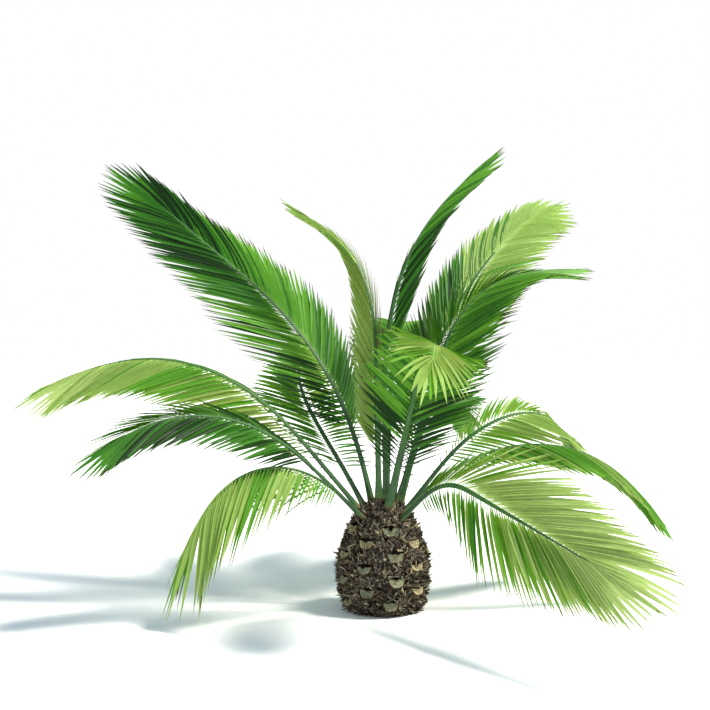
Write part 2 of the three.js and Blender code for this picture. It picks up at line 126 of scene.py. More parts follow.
# %% Leaflet materials
# the greens also paint light and shade: deep green for shade, bright, young and pale for lit leaves
LEAFLET_TINTS = {  # letter in the crown's values: (name, surface colour, light through, roughness)
    "D": ("leaflet_deep_green_painted_shade", "#0e3207", "#285c0b", 0.50),
    "M": ("leaflet_mid_green", "#2e6c16", "#56901a", 0.50),
    "B": ("leaflet_bright_green", "#559426", "#80b02e", 0.50),
    "Y": ("leaflet_young_and_lit_green", "#88aa52", "#a4bc5e", 0.50),
    "P": ("leaflet_pale_lit_green", "#adc874", "#bed47c", 0.50),
    "O": ("leaflet_olive_green", "#76963a", "#98ac44", 0.52),
    "T": ("leaflet_dry_tip", "#413b2a", "#605838", 0.70),
}
LEAF_IOR = 1.45
LEAF_SHEEN = 0.25  # half of a bare leaf's mirroring, because neighbours hide the room from it
LEAF_LIGHT_THROUGH = 0.28
MOTTLE_PER_METRE = 33.0
MOTTLE_DARK = 0.72  # of the leaf's colour, in the dark spots
VEINS_PER_METRE = 420.0
VEIN_RELIEF = 0.001


def leaf_material(name, surface, through, roughness):
    """A leaf with mottled colour and fine veins, which lets some light through."""
    material, tree = new_material(name)
    place = add(tree, "TexCoord").outputs["Object"]
    mottle = add(tree, "TexNoise", Vector=place, Scale=MOTTLE_PER_METRE, Detail=3.0)
    light = linear(surface)
    dark = tuple(c * MOTTLE_DARK for c in light[:3]) + (1.0,)
    shade = add(tree, "Mix", {"data_type": "RGBA"}, i0=mottle.outputs[0], i6=dark, i7=light)
    veins = add(tree, "TexNoise", Vector=place, Scale=VEINS_PER_METRE, Detail=2.0)
    bump = add(tree, "Bump", Height=veins.outputs[0], Strength=0.12, Distance=VEIN_RELIEF)
    skin = add(tree, "BsdfPrincipled", Base_Color=shade.outputs[2], Roughness=roughness, IOR=LEAF_IOR,
               Specular_IOR_Level=LEAF_SHEEN, Normal=bump.outputs[0])
    glow = add(tree, "BsdfTranslucent", Color=linear(through))
    both = add(tree, "MixShader", i0=LEAF_LIGHT_THROUGH, i1=skin.outputs[0], i2=glow.outputs[0])
    add(tree, "OutputMaterial", Surface=both.outputs[0])
    return material


leaf_materials = [leaf_material(*values) for values in LEAFLET_TINTS.values()]
TINT_LETTERS = "".join(LEAFLET_TINTS)
print("leaflet materials:", len(leaf_materials))

# %% [markdown]
# ## Leaf stalks and dry bark
#
# Stalks are smooth, hard leaf tissue with long fibres in them. Bark scraps and cut leaf bases are
# dead plant fibre: rough, without gloss, and full of strands. Both come from one recipe with its own
# colours, gloss and grain, and the grain is a noise that is stretched upright. Real fibres are under
# a millimetre thick. Here they are two to five, so that they show.

# %% Fibrous materials
FIBRE_TINTS = {  # name: (dark, light, roughness, gloss, blotches a metre, strands a metre, relief mm)
    "stalk_grey_green": ("#244324", "#3a5f37", 0.50, 0.30, 12.0, 260.0, 0.3),
    "stalk_leaf_green": ("#264c1f", "#406a33", 0.50, 0.30, 14.0, 260.0, 0.2),
    "stalk_low_olive": ("#35502c", "#526f3e", 0.50, 0.25, 20.0, 240.0, 0.5),
    "stalk_foot_brown": ("#434328", "#6a6649", 0.65, 0.20, 30.0, 240.0, 0.8),
    "rib_end_young_and_lit_green": ("#62873a", "#87a756", 0.50, 0.25, 14.0, 260.0, 0.2),
    "spine_green": ("#284523", "#3d5f35", 0.45, 0.30, 20.0, 200.0, 0.2),
    "bark_core_umber_painted_shade": ("#100c09", "#201a13", 0.95, 0.05, 40.0, 300.0, 3.0),
    "bark_scrap_dark": ("#1a1814", "#37332e", 0.92, 0.10, 60.0, 500.0, 1.0),
    "bark_scrap_brown": ("#3c332a", "#665a4c", 0.92, 0.10, 60.0, 500.0, 1.0),
    "bark_scrap_grey": ("#514e45", "#868274", 0.90, 0.10, 60.0, 500.0, 1.0),
    "bark_scrap_straw": ("#82765c", "#b9ad8f", 0.88, 0.15, 60.0, 500.0, 1.0),
    "bark_scrap_rust": ("#43332a", "#6f5648", 0.92, 0.10, 60.0, 500.0, 1.0),
    "cut_base_lit_cream": ("#776f54", "#a59e7d", 0.80, 0.15, 90.0, 420.0, 1.0),
    "cut_base_shaded_grey_green": ("#585c46", "#8f9278", 0.82, 0.15, 90.0, 420.0, 1.0),
    "cut_base_straw": ("#6d674c", "#9e9776", 0.82, 0.15, 90.0, 420.0, 1.0),
    "cut_base_side": ("#282015", "#514130", 0.90, 0.05, 60.0, 420.0, 1.5),
}
PLANT_FIBRE_IOR = 1.5
FIBRE_STRETCH = (1.0, 1.0, 0.15)
FIBRE_CONTRAST = (0.72, 1.28)  # sums of both noises that give the dark and the light colour


def fibre_material(name, dark, light, roughness, gloss, blotches, strands, relief_mm):
    """Fibrous tissue between two colours, with blotches and raised strands."""
    material, tree = new_material(name)
    place = add(tree, "TexCoord").outputs["Object"]
    blotch = add(tree, "TexNoise", Vector=place, Scale=blotches, Detail=4.0)
    upright = add(tree, "Mapping", Vector=place, Scale=FIBRE_STRETCH)
    strand = add(tree, "TexNoise", Vector=upright.outputs[0], Scale=strands, Detail=2.0)
    both = add(tree, "Math", {"operation": "ADD"}, i0=blotch.outputs[0], i1=strand.outputs[0])
    low, high = FIBRE_CONTRAST
    share = add(tree, "MapRange", Value=both.outputs[0], From_Min=low, From_Max=high)
    colour = add(tree, "Mix", {"data_type": "RGBA"}, i0=share.outputs[0], i6=linear(dark),
                 i7=linear(light))
    bump = add(tree, "Bump", Height=strand.outputs[0], Strength=0.6, Distance=relief_mm / 1000)
    surface = add(tree, "BsdfPrincipled", Base_Color=colour.outputs[2], Roughness=roughness,
                  IOR=PLANT_FIBRE_IOR, Specular_IOR_Level=gloss, Normal=bump.outputs[0])
    add(tree, "OutputMaterial", Surface=surface.outputs[0])
    return material


fibre_materials = {name: fibre_material(name, *values) for name, values in FIBRE_TINTS.items()}
print("fibrous materials:", len(fibre_materials))

# %% [markdown]
# ## Meshes from arrays
#
# A crown has thousands of leaflets, so nothing is placed one by one. Each kind of part is worked
# out as an array of points for all its copies at once, and one function joins them into a mesh.

# %% Mesh helper
def join_mesh(name, points, faces, tints, materials, replaced=(), smooth=True):
    """One joined piece: points (n, 3), faces as index arrays, and a material number for each."""
    mesh = bpy.data.meshes.new(name)
    mesh.from_pydata(points.tolist(), [], [list(f) for f in faces])
    for material in materials:
        mesh.materials.append(material)
    mesh.polygons.foreach_set("material_index", np.asarray(tints, dtype=np.int32))
    mesh.polygons.foreach_set("use_smooth", np.full(len(faces), smooth))
    mesh.update()
    piece = bpy.data.objects.new(name, mesh)
    scene.collection.objects.link(piece)
    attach(piece, "root")
    if replaced:
        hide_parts(*replaced)
    return piece


def grid_faces(rows, columns, closed=False):
    """Quads of a grid of points, rows by columns, with the columns joined in a ring if closed."""
    across = columns if closed else columns - 1
    row = np.arange(rows - 1)[:, None] * columns
    column = np.arange(across)
    after = (column + 1) % columns
    quads = [row + column, row + after, row + columns + after, row + columns + column]
    return np.stack([corner.ravel() for corner in quads], axis=1)


def tube_faces(rows, columns):
    """The quads of a closed grid, and one face over each of its two ends."""
    quads = grid_faces(rows, columns, closed=True).tolist()
    return quads + [range(columns)[::-1], range((rows - 1) * columns, rows * columns)]


def repeat_faces(faces, copies, points_each, start=0):
    """The faces of one shape for each of its copies, whose points follow one another from start."""
    starts = start + np.arange(copies) * points_each
    return (np.asarray(faces) + starts[:, None, None]).reshape(-1, len(faces[0]))


print("a grid of 2 by 3 points has", len(grid_faces(2, 3)), "faces")

# %% [markdown]
# ## The rule of a frond
#
# Each frond leaves the trunk's head at its seat, a distance from the axis and an azimuth. Between
# the two bend shares of its length the rib's rise above level and its azimuth go from their first
# value to their second. The blade turns about the rib by roll, and both rows of leaflets fold
# towards the upper face by fold. Seats, ribs, rolls and folds are those of the solids, so the fine
# fronds stay where the solids are, and a few rows have their own lengths or angles. left and right
# are what is different in one row, as looked at from the trunk. tints has letters for the left and
# for the right row, from foot to tip. Each frond could be shaped by hand, but numbers are quicker
# to change.

# %% The crown's values
FROND_KEYS = ("name", "seat", "rise", "azimuth", "length", "bend", "roll", "angle", "fold", "sag",
              "leaflet", "bare", "tints")
# the tints also paint light and shade: deep letters on shaded rows, pale ones on lit or glowing rows
CROWN = [  # a line for the rib, a line for its leaflets, and what differs from most fronds
    ("frond_upper_left", (0.080, 140), (74, 36), (130, 152), 2.25, (-0.12, 0.75), (-10, 42),
     (64, 21), (-18, -3), 0.05, 0.56, 0.19, ("DBMDM", "MBBMD"),
     dict(first=0.6, tip_loss=0, spacing=0.016,
          right=dict(angle=(42, 14), fold=(5, 8), shingle=-14, spread=0.8, foot=1.2))),
    ("frond_centre_left", (0.040, 125), (88, 28), (125, 139), 1.76, (0.4, 0.98), (0, 0),
     (34, 10), (-50, -30), 0.05, 0.33, 0.16, ("YYOBY", "YYYYY"),
     dict(first=0.7, tip_loss=0.2, spacing=0.03, spread=0.7, foot=1.1)),
    ("frond_centre_right", (0.035, -60), (93, 36), (60, 34), 1.96, (0.13, 1.08), (0, 0),
     (28, 13), (-60, -60), 0.05, 0.41, 0.3, ("DMDMB", "DMDMB"), dict(spacing=0.03)),
    ("frond_upper_right", (0.079, 55), (78, -1), (40, 59), 2.24, (-0.21, 1.55), (-10, -15),
     (50, 22), (-20, -35), 0.1, 0.50, 0.2, ("DMMYY", "DBYYY"),
     dict(first=0.6, left=dict(angle=(36, 18), fold=(5, 8), shingle=-14))),
    ("frond_right_high", (0.085, 15), (73, -1), (20, 27), 1.63, (0.41, 1.11), (-60, 0),
     (62, 20), (0, -40), 0.05, 0.46, 0.18, ("MBMB", "MMBB"), dict(first=0.6)),
    ("frond_front", (0.088, -75), (64, -58), (-66, -113), 1.49, (0.35, 1.25), (22, 28),
     (56, 50), (10, -12), 0.1, 0.42, 0.16, ("DMMBY", "DBMBY"),
     dict(first=0.7, tip_loss=0.4, spacing=0.021, broad=2.0,
          right=dict(angle=(48, 50), fold=(-12, -12)))),
    ("frond_right_back", (0.110, -5), (52, -36), (0, 60), 1.43, (0.15, 1), (-20, -30),
     (60, 14), (-28, -28), 0.1, 0.41, 0.25, ("OBYYB", "BYYYY"),
     dict(left=dict(leaflet=0.34, fold=(-3, -14)))),
    ("frond_right", (0.115, -32), (52, -49), (-15, 30), 1.58, (-0.12, 1.13), (0, 0),
     (42, 10), (-55, -65), 0.1, 0.37, 0.25, ("MBBYB", "MOBYB"), dict(spacing=0.025)),
    ("frond_front_right", (0.135, -54), (39, -11), (-50, -62), 1.60, (0.1, 0.42), (-45, -60),
     (42, 14), (0, 0), 0.05, 0.60, 0.14, ("BYPPPP", "MBBYP"),
     dict(first=0.25, broad=1.5,
          left=dict(angle=(37, 16), leaflet=0.70, spacing=0.017, spread=0.65, foot=1.0),
          right=dict(angle=(56, 14), first=0.45, grown=0.5))),
    ("frond_left_high", (0.113, 170), (50, -27), (178, 175), 1.87, (0.2, 1.16), (22, 22),
     (58, 26), (-40, -40), 0.1, 0.47, 0.22, ("OYBYP", "MBBYB"),
     dict(first=0.5, right=dict(fold=(-32, -36)))),
    # all deep greens, painted shade from the frond above
    ("frond_left", (0.122, 200), (45, -41), (200, 208), 1.49, (0.16, 1.28), (28, 28),
     (56, 24), (-18, -18), 0.1, 0.38, 0.22, ("DMMDM", "DDMDM"), dict(first=0.6)),
    # left row pale for painted light coming through, right row deep for painted shade
    ("frond_left_low", (0.130, 222), (44, -68), (201, 206), 1.12, (0.07, 1.16), (5, 5),
     (62, 28), (-50, -45), 0.35, 0.43, 0.2, ("BYBYY", "DMDMB"),
     dict(broad=1.4,
          left=dict(angle=(85, 28), first=0.25, grown=0.6, spread=0.8), right=dict(first=0.8))),
    ("frond_back_left", (0.116, 151), (62, 20), (158, 90), 1.60, (-0.15, 0.8), (0, 0),
     (60, 14), (0, -20), 0.12, 0.42, 0.15, ("MMBBY", "MMBOY"),
     dict(first=0.7, right=dict(angle=(92, 20)))),
    ("frond_back", (0.112, 82), (64, -20), (84, 78), 1.80, (0.2, 1.1), (0, 0),
     (60, 14), (10, -15), 0.12, 0.42, 0.25, ("DMBBY", "DMBBY"), dict(spread=0.8, foot=1.0)),
    ("frond_back_right", (0.128, 48), (52, -34), (66, 72), 1.50, (0.1, 1.1), (0, 0),
     (60, 14), (0, -20), 0.12, 0.40, 0.22, ("DMMBB", "DMMBB"), {}),
]
FRONDS = [{**dict(zip(FROND_KEYS, values)), **values[-1]} for values in CROWN]
print("fronds:", len(FRONDS))

# %% [markdown]
# ## The rib
#
# A frond's rib is a tapering beam that starts steep and leans over under its own weight. A curve
# through points set by hand could draw it. Adding up short steps, each at the angle that the rule
# gives there, keeps its true length, and the same rule gives the blade's directions anywhere.

# %% The rib and the frame that rides on it
TRUNK_TOP = 0.58
OUTER_LEAN = 60  # degrees off the upright, of an outer frond
SEAT_FALL = 0.12  # how far below the trunk's top such a frond is seated
SEAT_FALL_POWER = 1.5
RIB_STEPS = 64
RIB_HALF_WIDTH = (0.020, 0.003)  # at the trunk and at the tip
RIB_HALF_HEIGHT = (0.0125, 0.004)
RIB_TAPER_POWER = 1.2


def between(start, end, share):
    """The value at this share of the way from start to end."""
    return start + (end - start) * share


def smooth_step(x):
    """From 0 to 1 as x does, starting and ending gently."""
    share = np.clip(x, 0, 1)
    return share * share * (3 - 2 * share)


def unit(vectors):
    return vectors / np.linalg.norm(vectors, axis=-1, keepdims=True)


def polar(radius, azimuth, height):
    """The point this far from the trunk's axis, in this direction and at this height."""
    turn = math.radians(azimuth)
    return np.array([radius * math.cos(turn), radius * math.sin(turn), height])


def frame_at(frond, share):
    """Unit vectors along the rib, to its right and out of its upper face, for each share."""
    share = np.atleast_1d(share)
    turned = smooth_step((share - frond["bend"][0]) / (frond["bend"][1] - frond["bend"][0]))
    tilt = np.radians(between(*frond["rise"], turned))
    turn = np.radians(between(*frond["azimuth"], turned))
    along = np.stack([np.cos(tilt) * np.cos(turn), np.cos(tilt) * np.sin(turn), np.sin(tilt)], 1)
    level = np.stack([np.sin(turn), -np.cos(turn), np.zeros_like(turn)], 1)
    roll = np.radians(between(*frond["roll"], share))[:, None]
    side = level * np.cos(roll) + np.cross(level, along) * np.sin(roll)
    return along, side, np.cross(side, along)


def rib_of(frond):
    """Points of the rib from its seat to its tip."""
    tier = max((90 - frond["rise"][0]) / OUTER_LEAN, 0)
    radius, azimuth = frond["seat"]
    seat = polar(radius, azimuth, TRUNK_TOP - SEAT_FALL * tier ** SEAT_FALL_POWER)
    along, _, _ = frame_at(frond, (np.arange(RIB_STEPS) + 0.5) / RIB_STEPS)
    steps = np.cumsum(along, axis=0) * frond["length"] / RIB_STEPS
    return np.vstack([seat, seat + steps])


def rib_point(rib, share):
    place = np.clip(share, 0, 1) * RIB_STEPS
    return np.stack([np.interp(place, np.arange(RIB_STEPS + 1), rib[:, k]) for k in range(3)], 1)


def rib_half(share, ends):
    """Half the rib's width or height at each share, between its values at the two ends."""
    return between(ends[1], ends[0], (1 - np.clip(share, 0, 1)) ** RIB_TAPER_POWER)


def rib_edge(frond, share, outward, part):
    """Points this part of the way from the middle of the rib to its edge."""
    middle = rib_point(ribs[frond["name"]], share)
    return middle + outward * rib_half(share, RIB_HALF_WIDTH)[:, None] * part


def heading_of(axes, sign, angle, fold):
    """Unit vectors at this angle to the rib, on a side that is folded up by this much."""
    ahead, side, up = axes
    outward = sign * np.cos(fold) * side + np.sin(fold) * up
    return np.cos(angle) * ahead + np.sin(angle) * outward


ribs = {frond["name"]: rib_of(frond) for frond in FRONDS}
print("highest rib point:", round(max(rib[:, 2].max() for rib in ribs.values()), 3))

# %% [markdown]
# ## Where leaflets may not go
#
# A leaflet that would run into the trunk, the ground or another frond's rib is grown shorter, and
# left out if even the shortest one would touch. The shapes could be cut with one another, but it is
# much quicker to test how far a few points along each leaflet are from what is in the way.

# %% Clearance test
TRUNK_PROFILE = np.array([(0, 0.182), (0.045, 0.205), (0.120, 0.227), (0.210, 0.238), (0.300, 0.227),
                          (0.390, 0.198), (0.470, 0.162), (0.530, 0.125), (0.568, 0.068), (0.58, 0.0)])
TRUNK_CLEARANCE = 0.04
HEAD_CLEARANCE = 0.02
GROUND_CLEARANCE = 0.01
RIB_CLEARANCE = 0.006


def trunk_radius(height):
    return np.interp(height, TRUNK_PROFILE[:, 0], TRUNK_PROFILE[:, 1], right=0.0)


def is_clear(points, frond_name):
    """points is (leaflets, samples, 3). True for each leaflet with every sample in free space."""
    reach, height = np.hypot(points[..., 0], points[..., 1]), points[..., 2]
    over_trunk = height > TRUNK_TOP + HEAD_CLEARANCE
    beside_trunk = reach > trunk_radius(height) + TRUNK_CLEARANCE
    free = (height > GROUND_CLEARANCE) & (over_trunk | beside_trunk)
    for name, rib in ribs.items():
        if name == frond_name:
            continue
        room = rib_half(np.linspace(0, 1, len(rib)), RIB_HALF_WIDTH) + RIB_CLEARANCE
        gap = np.linalg.norm(points[:, :, None] - rib, axis=-1)
        free &= (gap > room).all(axis=-1)
    return free.all(axis=1)


print("trunk radius at 0.2 m:", round(trunk_radius(0.2), 3))

# %% [markdown]
# ## Rows of leaflets
#
# One row of leaflets stands on each side of the rib. On a real palm they are short and narrow next
# to the stalk, full in the middle and close to the rib at the tip. One leaflet could be copied along
# the rib. Here every value is an array with a number for each leaflet, so that length, width and
# angle all change along the row.
#
# leaflet is the full length, angle is between leaflet and rib, and bare is the share of the rib that
# has none. They stand spacing apart, and spread is how much of that they have next to the stalk. The
# first have the share first of the length and foot of the width, and the length is full at the share
# grown of the row. The last lack tip_loss of it, and broad widens them. shingle turns each about its
# own length, to overlap as slates do, and sag is how far its tip hangs down.

# %% Where the leaflets stand
ROW_DEFAULTS = dict(first=0.35, grown=0.3, tip_loss=0.1, spacing=0.019, spread=1.2, foot=0.5,
                    broad=1.2, shingle=14.0)
LEAFLET_LAST = 0.985  # share of the rib where the rows end
PLACE_STRAY = 0.15  # of the distance to the next leaflet
OPENING_POWER = 1.3
LEAFLET_CLOSING = (0.08, 0.15)  # over this last share of the row the angle falls to this much
LEAFLET_STAGGER = 2.0  # degrees that neighbours stand above and below the blade
FREE_ANGLE = 45  # degrees from the rib, from which on a leaflet strays fully
LEAST_PLAY = 0.1
ANGLE_STRAY = 0.9  # degrees, as the next two
FOLD_STRAY = 1.0
SHINGLE_STRAY = 12.0


def leaflet_places(row, random):
    """How far along its row each leaflet stands, from 0 to 1."""
    count = int((LEAFLET_LAST - row["bare"]) * row["length"] / row["spacing"])
    along = (np.arange(count) + 0.5 + random.uniform(-PLACE_STRAY, PLACE_STRAY, count)) / count
    return along * between(row["spread"], 1, along)


def leaflet_directions(row, sign, axes, along, random):
    """Unit vectors along each leaflet, to its forward edge and out of its face, and its play."""
    count = len(along)
    angle = between(row["angle"][1], row["angle"][0], (1 - along) ** OPENING_POWER)
    angle *= between(LEAFLET_CLOSING[1], 1, smooth_step((1 - along) / LEAFLET_CLOSING[0]))
    play = np.clip(angle / FREE_ANGLE, LEAST_PLAY, 1)  # leaflets close to the rib stray less
    angle = np.radians(angle + random.normal(0, ANGLE_STRAY, count) * play)[:, None]
    stagger = np.where(np.arange(count) % 2, LEAFLET_STAGGER, -LEAFLET_STAGGER)
    fold = between(*row["fold"], along) + (stagger + random.normal(0, FOLD_STRAY, count)) * play
    fold = np.radians(fold)[:, None]
    heading = heading_of(axes, sign, angle, fold)
    edge = unit(axes[0] - np.cos(angle) * heading)
    face = np.cross(heading, edge) * sign
    turn = np.radians(row["shingle"] + random.normal(0, SHINGLE_STRAY, count) * play)[:, None]
    edge, face = edge * np.cos(turn) + face * np.sin(turn), face * np.cos(turn) - edge * np.sin(turn)
    return heading, edge, face, play


print("leaflets on a metre of rib:", round(2 / ROW_DEFAULTS["spacing"]))

# %% [markdown]
# ## The shape of a leaflet
#
# A leaflet is a long blade folded into a gutter, pinched where it joins the rib and drawn out to a
# hard point that soon dries brown. It could be a card with a picture of a leaf on it, but a real
# outline throws a better shadow and lets the light show between the tips. So each is a strip with a
# fold down its middle.

# %% The shape of a leaflet
LEAFLET_WIDTH = 0.025
LEAFLET_STATIONS = np.array([0.0, 0.05, 0.12, 0.26, 0.45, 0.62, 0.77, 0.90, 1.0])
LEAFLET_WIDTHS = np.array([0.26, 0.36, 0.72, 1.0, 0.96, 0.79, 0.54, 0.27, 0.02])
LEAFLET_GUTTER = 36.0  # degrees that each half is folded up
LEAFLET_CURVE = 0.03  # how far the tip bends forward, as a share of the length
LEAFLET_ROOT = 0.8  # of the rib's half width, where a leaflet starts
LENGTH_RANGE = (0.95, 1.03)
SAG_RANGE = (0.7, 1.4)
FOOT_END = 0.3  # share of the row where the width is full
TIP_NARROWING = 0.25
LEAFLET_TRIMS = (1.0, 0.85, 0.7, 0.55)  # shares of the length, tried until one is clear
TESTED_STATIONS = np.linspace(0.12, 1.0, 8)


def leaflet_row(frond, sign, random):
    """Points (leaflets, stations, 3 across, 3) of one row, and how far along it each stands."""
    row = {**ROW_DEFAULTS, **frond, **frond.get("right" if sign > 0 else "left", {})}
    along = leaflet_places(row, random)
    share = between(row["bare"], LEAFLET_LAST, along)
    axes = frame_at(frond, share)
    heading, edge, face, play = leaflet_directions(row, sign, axes, along, random)
    length = row["leaflet"] * between(row["first"], 1, smooth_step(along / row["grown"]))
    length = length * (1 - row["tip_loss"] * along ** 2) * random.uniform(*LENGTH_RANGE, len(along))
    root = rib_edge(frond, share, axes[1] * sign, LEAFLET_ROOT)
    width = LEAFLET_WIDTH * between(row["foot"], 1, smooth_step(along / FOOT_END))
    width = width * (1 - TIP_NARROWING * along ** 3) * between(1, row["broad"], along ** 2)
    droop = row["sag"] * random.uniform(*SAG_RANGE, len(along))

    def middle_lines(length, stations):
        """The middle line of each leaflet, bent forward and sagging towards its tip."""
        u = stations[None, :, None]
        line = root[:, None] + heading[:, None] * (length[:, None, None] * u)
        line = line + edge[:, None] * (LEAFLET_CURVE * length[:, None, None] * u ** 2)
        return line - np.array([0, 0, 1.0]) * (droop * length)[:, None, None] * u ** 2

    chosen = np.zeros(len(along))
    for trim in LEAFLET_TRIMS:
        free = is_clear(middle_lines(length * trim, TESTED_STATIONS), frond["name"])
        chosen[free & (chosen == 0)] = trim
    kept = chosen > 0
    line = middle_lines(length * np.maximum(chosen, LEAFLET_TRIMS[-1]), LEAFLET_STATIONS)
    gutter = (math.radians(LEAFLET_GUTTER) * play)[:, None, None]
    half = width[:, None, None] / 2 * LEAFLET_WIDTHS[None, :, None]
    lift = face[:, None] * half * np.sin(gutter)
    reach = edge[:, None] * half * np.cos(gutter)
    points = np.stack([line - reach + lift, line, line + reach + lift], axis=2)
    return points[kept], along[kept]


print("points in a leaflet:", 3 * len(LEAFLET_STATIONS))

# %% [markdown]
# ## Growing the leaflets
#
# A frond ends in one more leaflet, which goes on from its rib. Leaflets differ in colour by place
# and age, and their colours also paint light and shade: deep greens where a frond lies in shade,
# bright and pale greens where light falls on it or comes through it. A colour ramp along the frond
# could show that, but a real leaflet has one colour of its own, so each gets one of the leaf
# materials: that of its place in tints, or of one near by. More than half of the tips are dry. All
# leaflets of a frond become one piece, which stands for its solids.

# %% Grow the leaflets
SEED = 27
TERMINAL_LENGTH = 0.75  # of a full leaflet's length
TERMINAL_HALF_WIDTH = 0.4  # of a full leaflet's width
TERMINAL_GUTTER = 0.002
TINT_BLUR = 0.7  # of the stretch that a letter has
DRY_TIP_SHARE = 0.6  # of the leaflets
DRY_TIP_FACES = {"D": 2, "M": 2, "B": 2, "Y": 1, "P": 1, "O": 1}  # an old leaflet has dried further


def terminal_leaflet(frond):
    """The leaflet that goes on from the rib's tip."""
    ahead, side, up = (v[0] for v in frame_at(frond, 1.0))
    reach = ahead * frond["leaflet"] * TERMINAL_LENGTH * LEAFLET_STATIONS[:, None]
    line = ribs[frond["name"]][-1] + reach
    half = side * (LEAFLET_WIDTH * TERMINAL_HALF_WIDTH * LEAFLET_WIDTHS)[:, None]
    return np.stack([line - half, line - up * TERMINAL_GUTTER, line + half], axis=1)[None]


def deal_tints(letters, along, random):
    """A tint for each leaflet: the letter of its place in the row, blurred into its neighbours."""
    place = along * len(letters) + random.normal(0, TINT_BLUR, len(along))
    chosen = np.clip(place, 0, len(letters) - 1).astype(int)
    return np.array([TINT_LETTERS.index(letter) for letter in letters])[chosen]


random = np.random.default_rng(SEED)
leaflet_count = 0
for frond in FRONDS:
    solids = [frond["name"] + end for end in ("", "_inner", "_outer")]
    left, along_left = leaflet_row(frond, -1, random)
    right, along_right = leaflet_row(frond, 1, random)
    points = np.concatenate([left, right, terminal_leaflet(frond)])
    letters_left, letters_right = frond["tints"]
    tints = np.concatenate([deal_tints(letters_left, along_left, random),
                            deal_tints(letters_right, along_right, random),
                            [TINT_LETTERS.index(letters_left[-1])]])
    stations, across = points.shape[1:3]
    quads = grid_faces(stations, across)
    face_tints = np.repeat(tints[:, None], len(quads), axis=1)
    dry = random.random(len(points)) < DRY_TIP_SHARE
    for letter, dry_faces in DRY_TIP_FACES.items():
        face_tints[dry & (tints == TINT_LETTERS.index(letter)), -dry_faces:] = TINT_LETTERS.index("T")
    join_mesh(frond["name"] + "_leaflets", points.reshape(-1, 3),
              repeat_faces(quads, len(points), stations * across), face_tints.ravel(),
              leaf_materials, [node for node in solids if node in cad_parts])
    leaflet_count += len(points)
print("leaflets:", leaflet_count)

# %% [markdown]
# ## Stalks and ribs
#
# The stalk is round below and has a shallow channel above, and it widens where it leaves the trunk.
# A curve with a bevel keeps one section all the way, and here the width grows more than the height.
# So a section is swept along the rib by hand, from the seat to the tip.

# %% The stalk's shape
STALK_SECTION = np.array([(1, 0.2), (0.8, 0.55), (0.4, 0.5), (0, 0.3), (-0.4, 0.5), (-0.8, 0.55),
                          (-1, 0.2), (-0.88, -0.35), (-0.5, -0.85), (0, -1), (0.5, -0.85), (0.88, -0.35)])
STALK_STATIONS = np.concatenate([np.linspace(0, 0.1, 17), np.linspace(0.1, 1, 46)[1:]])
STALK_FLARE = 0.45  # how much wider the foot is than its rule
STALK_FLARE_HEIGHT = 0.6  # of that, in its height
STALK_FLARE_END = 0.09
FOOT_MARGIN = 0.01  # metres that count as still in the trunk's cover


def stalk_points(frond):
    """The stalk's section at each of its stations."""
    centre = rib_point(ribs[frond["name"]], STALK_STATIONS)
    _, side, up = frame_at(frond, STALK_STATIONS)
    flare = 1 + STALK_FLARE * np.clip(1 - STALK_STATIONS / STALK_FLARE_END, 0, 1) ** 2
    width = rib_half(STALK_STATIONS, RIB_HALF_WIDTH) * flare
    height = rib_half(STALK_STATIONS, RIB_HALF_HEIGHT) * (1 + (flare - 1) * STALK_FLARE_HEIGHT)
    across = side[:, None] * (width[:, None] * STALK_SECTION[:, 0])[..., None]
    upward = up[:, None] * (height[:, None] * STALK_SECTION[:, 1])[..., None]
    return centre[:, None] + across + upward


def foot_share(frond):
    """The share of the length where the stalk leaves the trunk."""
    centre = rib_point(ribs[frond["name"]], STALK_STATIONS)
    reach = np.hypot(centre[:, 0], centre[:, 1])
    outside = ((centre[:, 2] > TRUNK_TOP + FOOT_MARGIN)
               | (reach > trunk_radius(centre[:, 2]) + FOOT_MARGIN))
    return STALK_STATIONS[np.argmax(outside)]


print("points in a stalk:", len(STALK_STATIONS) * len(STALK_SECTION))

# %% [markdown]
# ## Spines
#
# Stiff spines, which are leaflets that never opened, stand along both edges of the lower stalk and
# grow longer towards the blade. Scattered cones would point anywhere. These spikes are set out from
# the rib's own directions, so each one points forwards and outwards.

# %% Spines
SPINE_CORNERS = ((1, 0), (0, 1), (-1, 0), (0, -1))
SPINE_SIDES = len(SPINE_CORNERS)
SPINE_FACES = [(i, (i + 1) % SPINE_SIDES, SPINE_SIDES) for i in range(SPINE_SIDES)]
SPINE_HALF = (0.0045, 0.003)  # half its thickness, both ways
SPINE_SPACING = 0.045
SPINE_START = 0.10  # share of the frond's length
SPINE_OVERLAP = 0.02  # how far they go on among the first leaflets
SPINE_STRAY = 0.004
SPINE_ANGLES = (42, 62)  # degrees from the stalk
SPINE_FOLD = 35  # degrees up or down
SPINE_LENGTH = 0.03
SPINE_GROWTH = 0.10  # how much longer the last is than the first
SPINE_GROWTH_POWER = 1.5
SPINE_LENGTH_RANGE = (0.75, 1.15)
SPINE_ROOT = 0.85  # of the rib's half width


